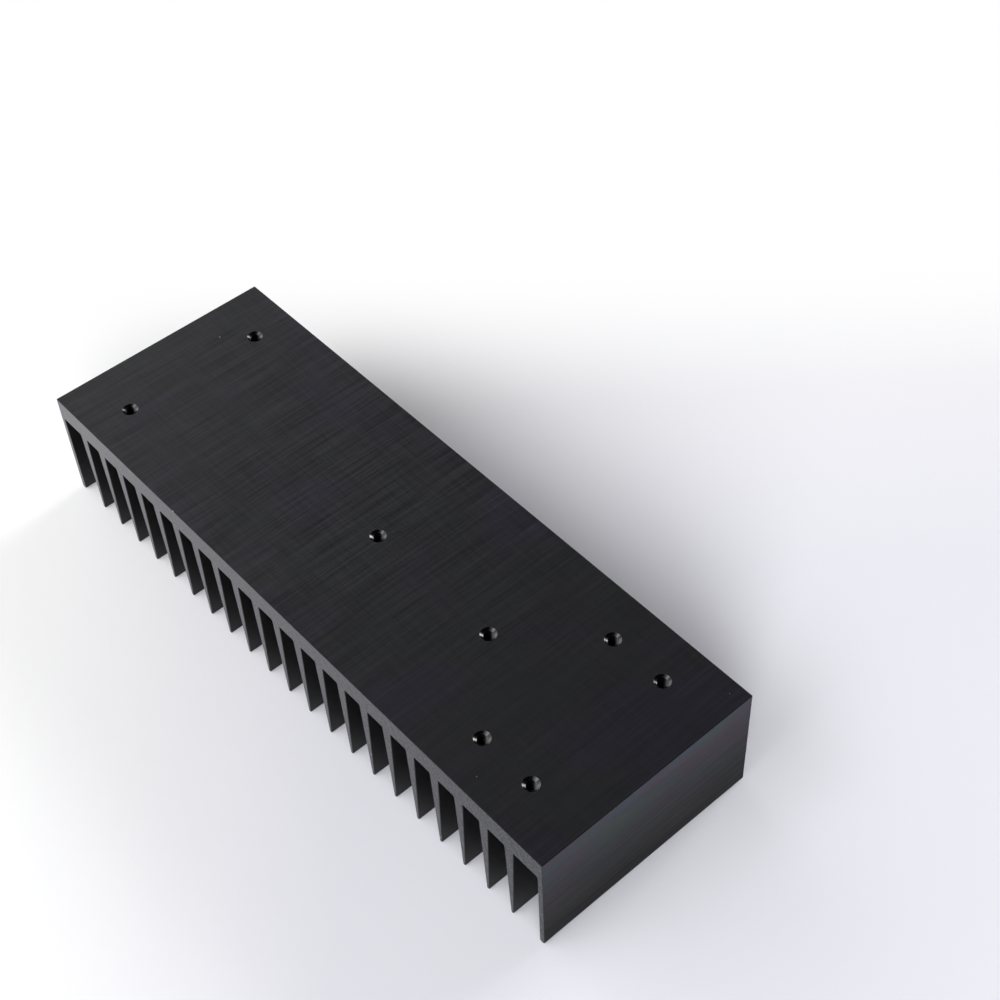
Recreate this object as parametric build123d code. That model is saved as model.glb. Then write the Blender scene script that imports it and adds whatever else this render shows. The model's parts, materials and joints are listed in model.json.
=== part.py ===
from build123d import *
import math
import os

# Heat sink: one length of aluminium comb extrusion, sawn off, drilled and tapped.
# The mounting face looks up and the fins point down, so the part rests on its fin tips.
# X runs across the fins, Y runs along them, and Z is up. The origin is in the middle of
# the footprint, on the surface that the tips stand on.

# Outside of the extrusion
LENGTH = 236.0
SAWN_WIDTH = 80.0
HEIGHT = 42.5
BASE_THICKNESS = 8.0
BASE_CORNER_RADIUS = 0.3

# Inner fins: they taper from root to tip, and the tip is a full round
FIN_PITCH = 10.45
FIN_ROOT_THICKNESS = 3.7
FIN_TIP_DIAMETER = 1.05

# End fins: even thickness, flush with the ends of the base, with a full round at the tip
END_FIN_THICKNESS = 2.0

# Small round where each fin side meets the floor of its slot
SLOT_CORNER_RADIUS = 0.4

# Broken edge around both sawn faces
DEBURR = 0.15

# Tapped holes, M4: the wall stands at the thread's outer diameter, and a larger drill with the
# same point opened the mouth
THREAD_DIAMETER = 4.0
TAP_DRILL_DIAMETER = 3.3
HOLE_MOUTH_DIAMETER = 5.2
DRILL_POINT_ANGLE = 118.0
METAL_UNDER_DRILL_POINT = 0.5
UNTAPPED_DEPTH = 1.0

# Hole places on the mounting face
CORNER_HOLE_FROM_END = 20.75
CORNER_HOLE_FROM_SIDE = 15.0
EXTRA_PAIR_FROM_CORNER_PAIR = 20.25
CENTRE_HOLE_SPACING = 51.0

SLOT_FLOOR = HEIGHT - BASE_THICKNESS


def inner_fin_centres():
    """Centres of the inner fins: as many as fit with no end slot narrower than an inner slot."""
    slot = FIN_PITCH - FIN_ROOT_THICKNESS
    taken_at_each_end = END_FIN_THICKNESS + slot + FIN_ROOT_THICKNESS / 2
    pitches = math.floor((LENGTH - 2 * taken_at_each_end) / FIN_PITCH)
    return [FIN_PITCH * (i - pitches / 2) for i in range(pitches + 1)]


def inner_fin_lines(centre):
    """Left side, round tip and right side of one tapered fin."""
    radius = FIN_TIP_DIAMETER / 2
    half_root = FIN_ROOT_THICKNESS / 2
    rise = SLOT_FLOOR - radius
    # the side is the tangent from the root point to the tip circle
    to_root = math.atan2(rise, half_root)
    swing = math.acos(radius / math.hypot(rise, half_root))
    reach = radius * math.cos(to_root - swing)
    level = radius + radius * math.sin(to_root - swing)
    return [
        Line((centre - half_root, SLOT_FLOOR), (centre - reach, level)),
        ThreePointArc((centre - reach, level), (centre, 0), (centre + reach, level)),
        Line((centre + reach, level), (centre + half_root, SLOT_FLOOR)),
    ]


def end_fin_lines(outer, inner):
    """Outer face, round tip and inner face of one end fin, in the order given."""
    radius = END_FIN_THICKNESS / 2
    tip = ThreePointArc((outer, radius), ((outer + inner) / 2, 0), (inner, radius))
    return [
        Line((outer, HEIGHT), (outer, radius)),
        tip,
        Line((inner, radius), (inner, SLOT_FLOOR)),
    ]


def comb_profile():
    """Section of the extrusion, drawn on the XZ plane."""
    half = LENGTH / 2
    inner = half - END_FIN_THICKNESS
    centres = inner_fin_centres()
    half_root = FIN_ROOT_THICKNESS / 2
    lines = end_fin_lines(-half, -inner) + end_fin_lines(half, inner)
    lines.append(Line((-half, HEIGHT), (half, HEIGHT)))
    for centre in centres:
        lines += inner_fin_lines(centre)
    walls = [-inner]
    for centre in centres:
        walls += [centre - half_root, centre + half_root]
    walls.append(inner)
    for left, right in zip(walls[::2], walls[1::2]):
        lines.append(Line((left, SLOT_FLOOR), (right, SLOT_FLOOR)))
    section = make_face(lines)
    roots = section.vertices().filter_by(lambda v: abs(v.Y - SLOT_FLOOR) < 1e-6)
    section = fillet(roots, SLOT_CORNER_RADIUS)
    corners = section.vertices().filter_by(lambda v: abs(v.Y - HEIGHT) < 1e-6)
    return fillet(corners, BASE_CORNER_RADIUS)


def extruded_blank():
    """The comb at its sawn width, with the edges of both sawn faces broken."""
    blank = extrude(Plane.XZ * comb_profile(), SAWN_WIDTH / 2, both=True)
    sawn = blank.faces().filter_by(Axis.Y)
    return chamfer(sawn.edges(), DEBURR)


def tapped_hole():
    """Space of one blind tapped hole, its mouth at the origin and its point down."""
    thread = THREAD_DIAMETER / 2
    drill = TAP_DRILL_DIAMETER / 2
    mouth = HOLE_MOUTH_DIAMETER / 2
    mouth_depth = (mouth - thread) / math.tan(math.radians(DRILL_POINT_ANGLE / 2))
    point = drill / math.tan(math.radians(DRILL_POINT_ANGLE / 2))
    drilled = BASE_THICKNESS - METAL_UNDER_DRILL_POINT - point
    threaded = drilled - UNTAPPED_DEPTH
    outline = Polyline(
        (0, 0),
        (mouth, 0),
        (thread, -mouth_depth),
        (thread, -threaded),
        (drill, -threaded),
        (drill, -drilled),
        (0, -drilled - point),
        close=True,
    )
    return revolve(Plane.XZ * make_face(outline), Axis.Z)


def hole_places():
    """Centres of the holes on the mounting face."""
    end = LENGTH / 2 - CORNER_HOLE_FROM_END
    side = SAWN_WIDTH / 2 - CORNER_HOLE_FROM_SIDE
    columns = [-end, end - EXTRA_PAIR_FROM_CORNER_PAIR, end]
    places = [(x, y) for x in columns for y in (-side, side)]
    return places + [(0, 0), (CENTRE_HOLE_SPACING, 0)]


def heat_sink():
    """The finished piece."""
    hole = tapped_hole()
    return extruded_blank() - [Pos(x, y, HEIGHT) * hole for x, y in hole_places()]


os.makedirs("parts", exist_ok=True)
export_step(heat_sink(), "parts/heat_sink.step")
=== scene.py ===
import json
import math

import bpy
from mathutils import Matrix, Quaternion, Vector


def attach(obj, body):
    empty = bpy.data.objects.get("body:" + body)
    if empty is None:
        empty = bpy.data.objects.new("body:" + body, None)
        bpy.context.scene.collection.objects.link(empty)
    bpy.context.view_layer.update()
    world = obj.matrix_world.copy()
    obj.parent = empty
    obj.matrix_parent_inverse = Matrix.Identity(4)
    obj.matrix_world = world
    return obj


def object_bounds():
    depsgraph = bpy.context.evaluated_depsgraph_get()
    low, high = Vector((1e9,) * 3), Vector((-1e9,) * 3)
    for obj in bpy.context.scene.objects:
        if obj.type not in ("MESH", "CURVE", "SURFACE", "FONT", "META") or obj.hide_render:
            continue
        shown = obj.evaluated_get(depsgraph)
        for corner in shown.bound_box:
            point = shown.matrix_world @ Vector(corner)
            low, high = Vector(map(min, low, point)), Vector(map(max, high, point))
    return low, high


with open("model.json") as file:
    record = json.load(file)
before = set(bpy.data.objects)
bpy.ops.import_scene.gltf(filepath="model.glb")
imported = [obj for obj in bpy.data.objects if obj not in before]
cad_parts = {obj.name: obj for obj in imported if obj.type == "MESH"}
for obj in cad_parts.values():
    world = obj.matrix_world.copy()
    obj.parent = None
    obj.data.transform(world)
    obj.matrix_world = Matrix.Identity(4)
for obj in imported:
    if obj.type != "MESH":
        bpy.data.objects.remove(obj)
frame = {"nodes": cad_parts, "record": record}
cad_low, cad_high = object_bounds()

# Heat sink body
# One length of extruded aluminium comb, sawn off, deburred, drilled and then anodised black. The
# extruded faces keep fine die lines along the fins, and the two sawn faces show the saw blade's arcs.

MM = 0.001
MOUNTING_FACE = cad_high.z
SAWN_FACE = cad_high.y
END_FACE = cad_high.x
BASE_THICKNESS = 8 * MM
DEBURR = 0.15 * MM
FACE_MARGIN = 0.01 * MM
CORNER_MARGIN = 0.5 * MM


def linear(hex_colour):
    """The linear colour of an sRGB hex value."""
    shares = [int(hex_colour[i:i + 2], 16) / 255 for i in (1, 3, 5)]
    return [s / 12.92 if s <= 0.04045 else ((s + 0.055) / 1.055) ** 2.4 for s in shares] + [1.0]


def add_node(tree, kind, inputs=(), out=0, **settings):
    """Adds one node with its settings and links, and returns the output asked for, or all of them.
    Inputs are values or other nodes' outputs, in order or by name."""
    made = tree.nodes.new("ShaderNode" + kind)
    for name, value in settings.items():
        setattr(made, name, value)
    sockets = [s for s in made.inputs if s.enabled]
    for key, value in inputs.items() if isinstance(inputs, dict) else enumerate(inputs):
        socket = sockets[key] if isinstance(key, int) else next(s for s in sockets if s.name == key)
        if isinstance(value, bpy.types.NodeSocket):
            tree.links.new(value, socket)
        else:
            socket.default_value = value
    outputs = [s for s in made.outputs if s.enabled]
    if out is None or not outputs:
        return outputs
    return outputs[out] if isinstance(out, int) else next(s for s in outputs if s.name == out)


def new_material(name):
    """An empty node material of that name."""
    material = bpy.data.materials.new(name)
    material.use_nodes = True
    material.node_tree.nodes.clear()
    return material


def streaks(tree, place, sizes, detail=2.0):
    """Noise whose patches have about these sizes along X, Y and Z."""
    stretched = add_node(tree, "Mapping", {"Vector": place, "Scale": [1 / size for size in sizes]})
    return add_node(tree, "TexNoise", {"Vector": stretched, "Scale": 1.0, "Detail": detail})


def die_lines(tree, place):
    """Lines that the die leaves along the fins, with broader bands under them. The real ones are
    finer than a tenth of a millimetre: they are drawn about 1 mm apart, so that they show."""
    fine = streaks(tree, place, (0.6 * MM, 25 * MM, 0.6 * MM), detail=1.0)
    broad = streaks(tree, place, (4 * MM, 120 * MM, 4 * MM))
    return add_node(tree, "Mix", {"Factor": 0.18, "A": fine, "B": broad}, data_type="FLOAT")


def saw_arcs(tree, x, z):
    """Grooves of a circular saw blade, whose centre passed low on the left of the comb."""
    blade_radius = 160 * MM
    blade_centre = -30 * MM
    groove_spacing = 1.0 * MM
    rise = add_node(tree, "Math", [z, blade_centre], operation="SUBTRACT")
    squared = add_node(tree, "Math", [rise, rise], operation="MULTIPLY")
    left = add_node(tree, "Math", [blade_radius ** 2, squared], operation="SUBTRACT")
    reach = add_node(tree, "Math", [left], operation="SQRT")
    along = add_node(tree, "Math", [x, reach], operation="SUBTRACT")
    return add_node(tree, "TexNoise", {
        "W": along, "Scale": 1 / groove_spacing, "Detail": 3.0,
    }, noise_dimensions="1D")


def near_spots(tree, place, spots):
    """1 inside any of the spots, each a place and a radius, with ragged edges, and 0 elsewhere."""
    ragged = add_node(tree, "TexNoise", {"Vector": place, "Scale": 1 / (0.3 * MM), "Detail": 2.0})
    inside = 0.0
    for spot, radius in spots:
        away = add_node(tree, "VectorMath", [place, spot], out="Value", operation="DISTANCE")
        edge = add_node(tree, "Math", [ragged, 2 * radius], operation="MULTIPLY")
        near = add_node(tree, "Math", [away, edge], operation="LESS_THAN")
        inside = add_node(tree, "Math", [near, inside], operation="MAXIMUM")
    return inside


# knocks that broke the dyed layer and show bare metal: place and radius in millimetres
KNOCKS = [
    ((-51.3, -40.0, 42.4), 0.25),
    ((33.1, -40.0, 21.9), 0.35),
    ((42.3, -40.0, 11.5), 0.30),
    ((73.1, -40.0, 2.2), 0.35),
    ((-105.2, 16.2, 42.5), 0.25),
    ((85.4, -34.3, 42.5), 0.20),
    ((113.0, 35.8, 42.5), 0.20),
]


def black_anodised_aluminium():
    """Black anodised 6063 aluminium. The dyed oxide is a clear hard layer over metal: it looks like
    a satin black glaze, near black where it mirrors nothing and grey where it mirrors white paper.
    Die lines catch the light across the fins' direction; sawn faces scatter more of it."""
    material = new_material("black_anodised_aluminium")
    tree = material.node_tree
    place = add_node(tree, "TexCoord", out="Object")
    x, y, z = add_node(tree, "SeparateXYZ", [place], out=None)

    # which face a point lies on: sawn, its broken edge, the mounting face, an outer one, or a hole's
    beside = add_node(tree, "Math", [y], operation="ABSOLUTE")
    outwards = add_node(tree, "Math", [x], operation="ABSOLUTE")
    sawn = add_node(tree, "Math", [beside, SAWN_FACE - FACE_MARGIN], operation="GREATER_THAN")
    mounting = add_node(tree, "Math", [z, MOUNTING_FACE - FACE_MARGIN], operation="GREATER_THAN")
    outer = add_node(tree, "Math", [outwards, END_FACE - FACE_MARGIN], operation="GREATER_THAN")
    cut_edge = add_node(tree, "Math", [beside, SAWN_FACE - DEBURR - FACE_MARGIN], operation="GREATER_THAN")
    drilled = 1.0
    for value, level, operation in (
        (z, MOUNTING_FACE - FACE_MARGIN, "LESS_THAN"),
        (z, MOUNTING_FACE - BASE_THICKNESS + FACE_MARGIN, "GREATER_THAN"),
        (beside, SAWN_FACE - CORNER_MARGIN, "LESS_THAN"),
        (outwards, END_FACE - CORNER_MARGIN, "LESS_THAN"),
    ):
        within = add_node(tree, "Math", [value, level], operation=operation)
        drilled = add_node(tree, "Math", [within, drilled], operation="MULTIPLY")

    # extruded faces: die lines along the fins, and black all through in the slots. The mounting face
    # is a little paler, cloudy, and brushed across too, and its lines fade towards the right
    lines = die_lines(tree, place)
    crossed = streaks(tree, place, (12 * MM, 0.7 * MM, 12 * MM), detail=0.0)
    brushing = add_node(tree, "MapRange", {"Value": outer, "To Min": 0.19, "To Max": 0.0})
    lines = add_node(tree, "Mix", {"Factor": brushing, "A": lines, "B": crossed}, data_type="FLOAT")
    to_right = add_node(tree, "MapRange", {
        "Value": x, "From Min": -20 * MM, "From Max": 70 * MM, "To Min": 0.0, "To Max": 0.65,
    })
    fading = add_node(tree, "Math", [to_right, outer], operation="SUBTRACT", use_clamp=True)
    lines = add_node(tree, "Mix", {"Factor": fading, "A": lines, "B": 0.5}, data_type="FLOAT")
    strong = add_node(tree, "MapRange", {"Value": lines, "From Min": 0.34, "From Max": 0.66})
    cloud = add_node(tree, "TexNoise", {"Vector": place, "Scale": 1 / (30 * MM), "Detail": 2.0})
    tint = add_node(tree, "MapRange", {"Value": cloud, "From Min": 0.4, "From Max": 0.62})
    deep = {"Factor": tint, "A": linear("#040405"), "B": linear("#040307")}
    pale = {"Factor": tint, "A": linear("#222327"), "B": linear("#25222e")}
    deep_dye = add_node(tree, "Mix", deep, data_type="RGBA")
    pale_dye = add_node(tree, "Mix", pale, data_type="RGBA")
    plate_dye = {"Factor": strong, "A": deep_dye, "B": pale_dye}
    plate_dye = add_node(tree, "Mix", plate_dye, data_type="RGBA")
    both_dyes = {"Factor": mounting, "A": linear("#030304"), "B": plate_dye}
    dyed = add_node(tree, "Mix", both_dyes, data_type="RGBA")

    # the outer faces turn paler towards the plate, in violet, blue and green patches
    patches = streaks(tree, place, (20 * MM, 24 * MM, 9 * MM), detail=1.0)
    blue = add_node(tree, "MapRange", {"Value": patches, "From Min": 0.42, "From Max": 0.52})
    green = add_node(tree, "MapRange", {"Value": patches, "From Min": 0.54, "From Max": 0.62})
    violet_blue = {"Factor": blue, "A": linear("#3d3440"), "B": linear("#323944")}
    violet_blue = add_node(tree, "Mix", violet_blue, data_type="RGBA")
    film = {"Factor": green, "A": violet_blue, "B": linear("#353d3c")}
    film_colour = add_node(tree, "Mix", film, data_type="RGBA")
    upwards = add_node(tree, "MapRange", {"Value": z, "From Min": -4 * MM, "From Max": 40.5 * MM})
    upwards = add_node(tree, "Math", [upwards, 2.0], operation="POWER")
    streaked = add_node(tree, "MapRange", {"Value": strong, "To Min": 0.45, "To Max": 1.0})
    paler_towards_plate = add_node(tree, "Math", [upwards, outer], operation="MULTIPLY")
    paler_towards_plate = add_node(tree, "Math", [paler_towards_plate, streaked], operation="MULTIPLY")
    dye_and_film = {"Factor": paler_towards_plate, "A": dyed, "B": film_colour}
    extruded_colour = add_node(tree, "Mix", dye_and_film, data_type="RGBA")

    # sawn faces: arcs and a grain, paler on their ridges. The arcs and grain are drawn coarser than the
    # blade's teeth leave them, so that they show. Painted light: the sawn colour turns paler and paler
    # towards the left, where more light falls on these faces
    arcs = saw_arcs(tree, x, z)
    grain = add_node(tree, "TexNoise", {"Vector": place, "Scale": 1 / (0.7 * MM), "Detail": 1.0})
    cut = add_node(tree, "Mix", {"Factor": 0.6, "A": arcs, "B": grain}, data_type="FLOAT")
    cut_strong = add_node(tree, "MapRange", {"Value": cut, "From Min": 0.43, "From Max": 0.57})
    full_dye = {"Factor": cut_strong, "A": linear("#020304"), "B": linear("#14181a")}
    # painted light: these paler shades stand for the stronger light on the left end of the sawn faces
    painted_lit_sawn_dye = {"Factor": cut_strong, "A": linear("#2e2c32"), "B": linear("#625f66")}
    sawn_right = add_node(tree, "Mix", full_dye, data_type="RGBA")
    sawn_painted_lit = add_node(tree, "Mix", painted_lit_sawn_dye, data_type="RGBA")
    # painted light: from the right end to the left end, the sawn colour blends into the paler, lit-looking
    # shades
    painted_light_leftwards = add_node(tree, "MapRange", {"Value": x, "From Min": END_FACE, "From Max": -END_FACE})
    sawn_painted_light = {"Factor": painted_light_leftwards, "A": sawn_right, "B": sawn_painted_lit}
    sawn_colour = add_node(tree, "Mix", sawn_painted_light, data_type="RGBA")

    # where it was knocked, the bare metal shows
    spots = [([c * MM for c in spot], radius * MM) for spot, radius in KNOCKS]
    knocked = near_spots(tree, place, spots)
    both_finishes = {"Factor": sawn, "A": extruded_colour, "B": sawn_colour}
    dye_colour = add_node(tree, "Mix", both_finishes, data_type="RGBA")
    dye_and_metal = {"Factor": knocked, "A": dye_colour, "B": linear("#b4b5b8")}
    colour = add_node(tree, "Mix", dye_and_metal, data_type="RGBA")

    # the mounting face is satin, the slots and outer faces are duller, and the drilled holes smooth
    satin = add_node(tree, "MapRange", {"Value": strong, "To Min": 0.29, "To Max": 0.34})
    dull = add_node(tree, "MapRange", {"Value": strong, "To Min": 0.60, "To Max": 0.76})
    coarse = add_node(tree, "MapRange", {"Value": cut_strong, "To Min": 0.28, "To Max": 0.54})
    roughness = add_node(tree, "Mix", {"Factor": outer, "A": 0.52, "B": dull}, data_type="FLOAT")
    roughness = add_node(tree, "Mix", {"Factor": mounting, "A": roughness, "B": satin}, data_type="FLOAT")
    roughness = add_node(tree, "Mix", {"Factor": drilled, "A": roughness, "B": 0.14}, data_type="FLOAT")
    roughness = add_node(tree, "Mix", {"Factor": cut_edge, "A": roughness, "B": 0.6}, data_type="FLOAT")
    roughness = add_node(tree, "Mix", {"Factor": sawn, "A": roughness, "B": coarse}, data_type="FLOAT")

    line_bump = add_node(tree, "Bump", {"Height": lines, "Strength": 1.0, "Distance": 0.015 * MM})
    sawn_height = add_node(tree, "Math", [cut, sawn], operation="MULTIPLY")
    bump = add_node(tree, "Bump", {
        "Height": sawn_height, "Strength": 1.0, "Distance": 0.12 * MM, "Normal": line_bump,
    })

    # the gloss spreads across the die lines: on sawn faces, where that direction fails, along X
    facing = add_node(tree, "NewGeometry", out="Normal")
    across = add_node(tree, "VectorMath", [facing, (0, 1, 0)], out="Vector", operation="CROSS_PRODUCT")
    tangent = add_node(tree, "VectorMath", [across, (0.01, 0, 0)], out="Vector", operation="ADD")
    shader = add_node(tree, "BsdfPrincipled", {
        "Base Color": colour, "Metallic": knocked, "IOR": 1.55, "Roughness": roughness, "Normal": bump,
        "Anisotropic": 0.7, "Tangent": tangent,
    })
    add_node(tree, "OutputMaterial", [shader])
    return material


heat_sink = frame["nodes"]["heat_sink"]
heat_sink.data.materials.clear()
heat_sink.data.materials.append(black_anodised_aluminium())

# Threads of the tapped holes
# A tap cut an M4 thread in each blind hole before the part was anodised. What stands between its
# turns is a ridge of the plate's own metal, cut away where the countersink opens the mouth.

THREAD_PITCH = 0.7 * MM
THREAD_RIDGE = 0.38 * MM
THREAD_SUNK = 0.03 * MM
ROOT_WIDTH = THREAD_PITCH * 7 / 8
CREST_WIDTH = THREAD_PITCH / 4
THREAD_TURNS = 7
THREAD_STEPS = 48
SMOOTH_BELOW = math.radians(35)
COUNTERSINK_SIDES = 96
COUNTERSINK_ANGLE = math.radians(118)

patterns = [m for m in frame["record"]["mounts"] if m["kind"] == "bolt_pattern"]
thread_radius = patterns[0]["dims"]["hole_r_mm"] * MM
thread_start = patterns[0]["pos_m"][2]
countersink_slope = math.tan(COUNTERSINK_ANGLE / 2)
mouth_radius = thread_radius + (MOUNTING_FACE - thread_start) * countersink_slope


def cut_thread_finish():
    """Black anodised aluminium as a tap leaves it: torn a little across, smooth along the thread, so
    that it glints where it faces a lamp."""
    material = new_material("black_anodised_cut_thread")
    tree = material.node_tree
    place = add_node(tree, "TexCoord", out="Object")
    torn = add_node(tree, "TexNoise", {"Vector": place, "Scale": 1 / (0.15 * MM), "Detail": 2.0})
    shades = {"Factor": torn, "A": linear("#020203"), "B": linear("#080808")}
    colour = add_node(tree, "Mix", shades, data_type="RGBA")
    roughness = add_node(tree, "MapRange", {"Value": torn, "To Min": 0.12, "To Max": 0.24})
    bump = add_node(tree, "Bump", {"Height": torn, "Strength": 0.6, "Distance": 0.02 * MM})
    shader = add_node(tree, "BsdfPrincipled", {
        "Base Color": colour, "IOR": 1.55, "Roughness": roughness, "Normal": bump,
    })
    add_node(tree, "OutputMaterial", [shader])
    return material


# the ridge's section: a plane in XZ, narrowed at its crest, and swept up a right-hand helix
bpy.ops.object.select_all(action="DESELECT")
bpy.ops.mesh.primitive_plane_add(size=1, rotation=(math.radians(90), 0, 0))
ridge = bpy.context.object
ridge_depth = THREAD_RIDGE + THREAD_SUNK
lowest_turn = MOUNTING_FACE - THREAD_TURNS * THREAD_PITCH
bpy.ops.object.transform_apply(rotation=True)
bpy.ops.object.mode_set(mode="EDIT")
bpy.ops.transform.resize(value=(ridge_depth, 1, ROOT_WIDTH))
bpy.ops.transform.translate(value=(thread_radius + THREAD_SUNK - ridge_depth / 2, 0, 0))
bpy.ops.mesh.select_mode(type="VERT")
bpy.ops.mesh.select_all(action="DESELECT")
bpy.ops.object.mode_set(mode="OBJECT")
for corner in ridge.data.vertices:
    corner.select = corner.co.x < thread_radius - THREAD_RIDGE / 2
bpy.ops.object.mode_set(mode="EDIT")
bpy.ops.transform.resize(value=(1, 1, CREST_WIDTH / ROOT_WIDTH))
bpy.ops.mesh.select_all(action="SELECT")
bpy.ops.transform.translate(value=(0, 0, lowest_turn))
bpy.ops.mesh.delete(type="ONLY_FACE")
bpy.ops.object.mode_set(mode="OBJECT")
helix = ridge.modifiers.new("helix", "SCREW")
helix.axis = "Z"
helix.screw_offset = THREAD_PITCH
helix.iterations = THREAD_TURNS
helix.steps = helix.render_steps = THREAD_STEPS
bpy.ops.object.modifier_apply(modifier=helix.name)

# both ends are closed, and the countersink cuts the top turn away
bpy.ops.object.mode_set(mode="EDIT")
bpy.ops.mesh.select_mode(type="EDGE")
bpy.ops.mesh.select_all(action="DESELECT")
bpy.ops.mesh.select_non_manifold()
bpy.ops.mesh.edge_face_add()
bpy.ops.mesh.select_all(action="SELECT")
bpy.ops.mesh.normals_make_consistent(inside=False)
bpy.ops.object.mode_set(mode="OBJECT")
bpy.ops.object.select_all(action="DESELECT")
bpy.ops.mesh.primitive_cone_add(
    vertices=COUNTERSINK_SIDES, radius1=0, radius2=2 * mouth_radius,
    depth=2 * mouth_radius / countersink_slope, location=(0, 0, MOUNTING_FACE),
)
countersink = bpy.context.object
bpy.context.view_layer.objects.active = ridge
opening = ridge.modifiers.new("opening", "BOOLEAN")
opening.operation = "DIFFERENCE"
opening.object = countersink
bpy.ops.object.modifier_apply(modifier=opening.name)
bpy.data.objects.remove(countersink)
ridge.data.materials.append(cut_thread_finish())

hole_places = []
for pattern in patterns:
    middle_x, middle_y, _ = pattern["pos_m"]
    half_x = pattern["dims"].get("spacing_x_mm", 0) / 2 * MM
    half_y = pattern["dims"].get("spacing_y_mm", 0) / 2 * MM
    for side_x in {-half_x, half_x}:
        for side_y in {-half_y, half_y}:
            hole_places.append((middle_x + side_x, middle_y + side_y))

for number, (hole_x, hole_y) in enumerate(sorted(hole_places), 1):
    thread = ridge.copy()
    thread.data = ridge.data.copy()
    thread.name = f"hole_thread_{number}"
    bpy.context.scene.collection.objects.link(thread)
    bpy.ops.object.select_all(action="DESELECT")
    thread.select_set(True)
    bpy.context.view_layer.objects.active = thread
    thread.location = (hole_x, hole_y, 0)
    bpy.ops.object.transform_apply(location=True)
    bpy.ops.object.shade_smooth_by_angle(angle=SMOOTH_BELOW)
    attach(thread, "root")
bpy.data.objects.remove(ridge)

# Floor
# A large sheet of matt white photo paper, which runs up to the backdrop at the back. Painted light: its
# colour turns whiter towards the back and towards the left, where more light falls on it. It isn't part of
# the heat sink.

FLOOR_SIZE = 6.0
PAINTED_LIGHT_FROM = 0.02
PAINTED_LIGHT_BEYOND = 0.22
LEFT_SOONER = 1.8
BACKDROP_FROM = 0.09
BACKDROP_BEYOND = 0.17
AROUND_FROM = 0.45
AROUND_BEYOND = 0.90
BACKWARDS = (-0.755, 0.655, 0.0)
LEFTWARDS = (-0.655, -0.755, 0.0)
CAMERA_RAY = "Is Camera Ray"
MIRRORED_RAYS = ["Is Glossy Ray", "Is Transmission Ray"]


def backdrop_rays(tree, kinds):
    """1 for the light rays of these kinds, on which the white backdrop shows, and 0 for all others."""
    shown = 0.0
    for ray in add_node(tree, "LightPath", out=None):
        if ray.name in kinds:
            shown = add_node(tree, "Math", [ray, shown], operation="MAXIMUM")
    return shown


def photo_paper():
    """Matt paper: a soft white with no gloss, faintly blue in the shade of the studio."""
    material = new_material("white_photo_paper")
    tree = material.node_tree
    place = add_node(tree, "TexCoord", out="Object")
    far_back = add_node(tree, "VectorMath", [place, BACKWARDS], out="Value", operation="DOT_PRODUCT")
    far_left = add_node(tree, "VectorMath", [place, LEFTWARDS], out="Value", operation="DOT_PRODUCT")
    left_sooner = add_node(tree, "Math", [far_left, LEFT_SOONER], operation="MULTIPLY")
    farthest = add_node(tree, "Math", [far_back, left_sooner], operation="MAXIMUM")
    # painted light: the paper's colour is made whiter where more light falls, towards the back and the
    # left
    painted_floor_light = add_node(tree, "MapRange", {
        "Value": farthest, "From Min": PAINTED_LIGHT_FROM, "From Max": PAINTED_LIGHT_BEYOND,
    })
    near = linear("#ececf4")
    far = linear("#ffffff")
    colour = add_node(tree, "Mix", {"Factor": painted_floor_light, "A": near, "B": far}, data_type="RGBA")
    paper = add_node(tree, "BsdfPrincipled", {"Base Color": colour, "Roughness": 0.9})

    # the far paper is seen, and mirrored, as the evenly lit white backdrop that it runs up to
    backdrop = add_node(tree, "MapRange", {
        "Value": far_back, "From Min": BACKDROP_FROM, "From Max": BACKDROP_BEYOND,
    }, interpolation_type="SMOOTHSTEP")
    away = add_node(tree, "VectorMath", [place], out="Value", operation="LENGTH")
    around = add_node(tree, "MapRange", {
        "Value": away, "From Min": AROUND_FROM, "From Max": AROUND_BEYOND,
    }, interpolation_type="SMOOTHSTEP")
    backdrop = add_node(tree, "Math", [backdrop, around], operation="MAXIMUM")
    seen = backdrop_rays(tree, [CAMERA_RAY, *MIRRORED_RAYS])
    backdrop_seen = add_node(tree, "Math", [backdrop, seen], operation="MULTIPLY")
    white = add_node(tree, "Emission", {"Color": far, "Strength": 1.0})
    shader = add_node(tree, "MixShader", [backdrop_seen, paper, white])
    add_node(tree, "OutputMaterial", [shader])
    return material


bpy.ops.object.select_all(action="DESELECT")
bpy.ops.mesh.primitive_plane_add(size=FLOOR_SIZE)
floor = bpy.context.object
floor.name = "floor"
floor.data.materials.append(photo_paper())

# Lamps
# A white studio: one soft box close on the left, a larger one on the right, a far one in front, and a
# surround that is bright where its windows stand and dark between them.


def soft_box(name, place, width, height, power):
    """A rectangular soft box that faces the heat sink."""
    light = bpy.data.lights.new(name, "AREA")
    light.shape = "RECTANGLE"
    light.size = width
    light.size_y = height
    light.energy = power
    lamp = bpy.data.objects.new(name, light)
    bpy.context.scene.collection.objects.link(lamp)
    lamp.location = place
    lamp.rotation_mode = "QUATERNION"
    lamp.rotation_quaternion = (-Vector(place)).to_track_quat("-Z", "Y")


def far_soft_box(name, azimuth, height, breadth, power):
    """A round soft box far away, given by its azimuth from +X, its height above the floor and its
    breadth, all in degrees. It lights everything evenly, and nothing mirrors it."""
    light = bpy.data.lights.new(name, "SUN")
    light.angle = math.radians(breadth)
    light.energy = power
    lamp = bpy.data.objects.new(name, light)
    bpy.context.scene.collection.objects.link(lamp)
    lamp.rotation_euler = (math.radians(90 - height), 0, math.radians(azimuth + 90))
    lamp.visible_glossy = False


soft_box("soft_box_left", (-0.45, -0.30, 0.25), 0.6, 0.4, 0.58)
soft_box("soft_box_right", (0.9, -0.6, 0.6), 0.8, 0.6, 4.55)
far_soft_box("soft_box_front", 315, 15, 30, 2.57)

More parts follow.
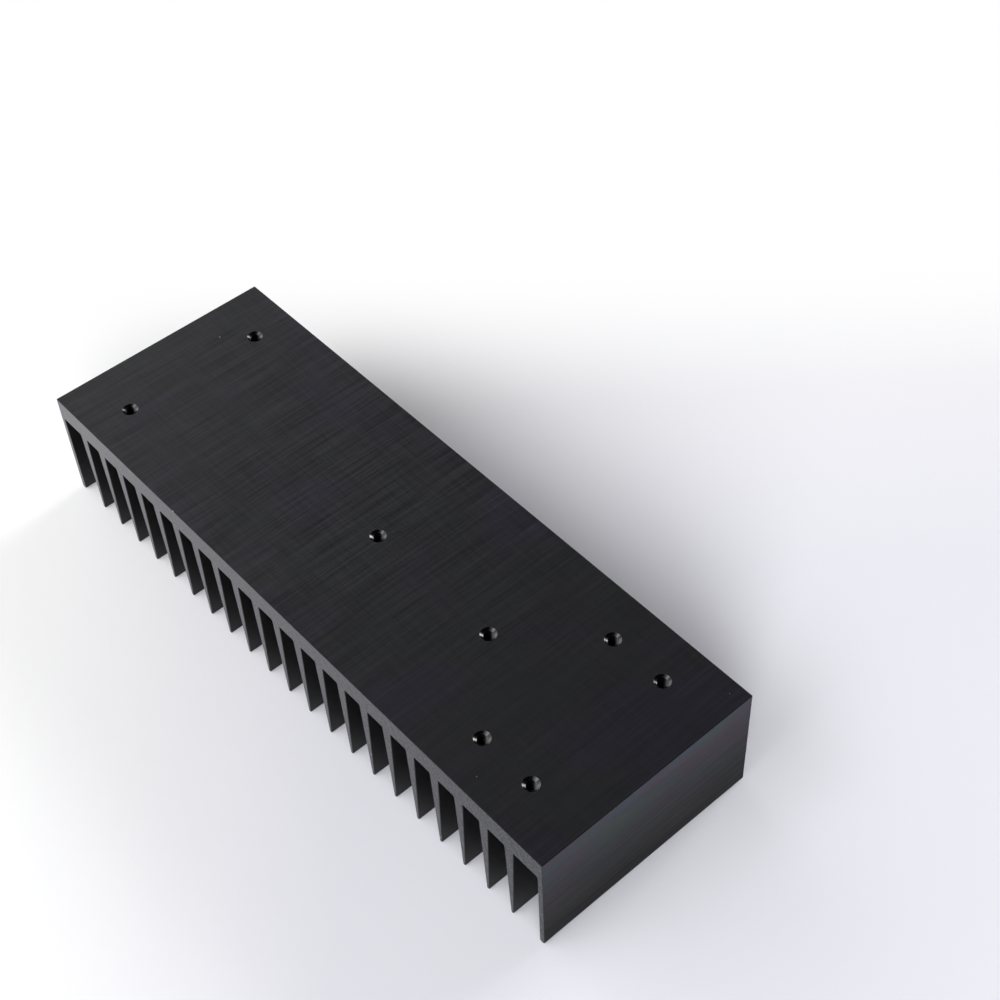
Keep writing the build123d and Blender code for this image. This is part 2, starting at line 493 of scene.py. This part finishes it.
# each window's azimuth from +X and height above the floor in degrees, how sharply it fades towards
# its edges, and how bright its middle is
WINDOWS = [
    (180, 15, 8, 2.15),
    (270, 40, 30, 5.33),
    (236, 48, 60, 4.80),
    (93, 27, 90, 17.0),
    (90, 50, 20, 0.20),
]
HORIZON = 0.02
ABOVE_HORIZON = 0.06
surround = bpy.data.worlds.new("studio")
surround.use_nodes = True
bpy.context.scene.world = surround
tree = surround.node_tree
tree.nodes.clear()
direction = add_node(tree, "TexCoord", out="Generated")
level = 0.0
for azimuth, height, sharpness, brightness in WINDOWS:
    turn, lift = math.radians(azimuth), math.radians(height)
    middle = (math.cos(turn) * math.cos(lift), math.sin(turn) * math.cos(lift), math.sin(lift))
    nearness = add_node(tree, "VectorMath", [direction, middle], out="Value", operation="DOT_PRODUCT")
    facing = add_node(tree, "Math", [nearness, 0.0], operation="MAXIMUM")
    window = add_node(tree, "Math", [facing, sharpness], operation="POWER")
    level = add_node(tree, "Math", [window, brightness, level], operation="MULTIPLY_ADD")

# the camera sees plain white beyond the floor, and what mirrors the horizon shows it too
upwards = add_node(tree, "SeparateXYZ", [direction], out="Z")
near_horizon = add_node(tree, "MapRange", {
    "Value": upwards, "From Min": HORIZON, "From Max": ABOVE_HORIZON, "To Min": 1.0, "To Max": 0.0,
})
mirrored = backdrop_rays(tree, MIRRORED_RAYS)
mirrored = add_node(tree, "Math", [mirrored, near_horizon], operation="MULTIPLY")
seen = add_node(tree, "Math", [backdrop_rays(tree, [CAMERA_RAY]), mirrored], operation="MAXIMUM")
level = add_node(tree, "Mix", {"Factor": seen, "A": level, "B": 1.0}, data_type="FLOAT")
sky = add_node(tree, "Background", {"Color": linear("#ffffff"), "Strength": level})
add_node(tree, "OutputWorld", [sky])

# Camera
# Where the photo was taken from, worked out from the straight edges of the piece.

CAMERA_PLACE = Vector((301.76, -196.44, 459.96)) * MM
CAMERA_AIM = Vector((8.47, 58.13, 21.0)) * MM
CAMERA_ROLL = math.radians(-1.66)
LENS = 65.09
SHIFT_X = -0.04
camera_data = bpy.data.cameras.new("camera")
camera_data.lens = LENS
camera_data.shift_x = SHIFT_X
camera_data.clip_start = 0.01
camera = bpy.data.objects.new("camera", camera_data)
bpy.context.scene.collection.objects.link(camera)
camera.location = CAMERA_PLACE
camera.rotation_mode = "QUATERNION"
aimed = (CAMERA_AIM - CAMERA_PLACE).to_track_quat("-Z", "Y")
camera.rotation_quaternion = aimed @ Quaternion((0, 0, 1), CAMERA_ROLL)
bpy.context.scene.camera = camera
bpy.context.scene.view_settings.view_transform = "Standard"
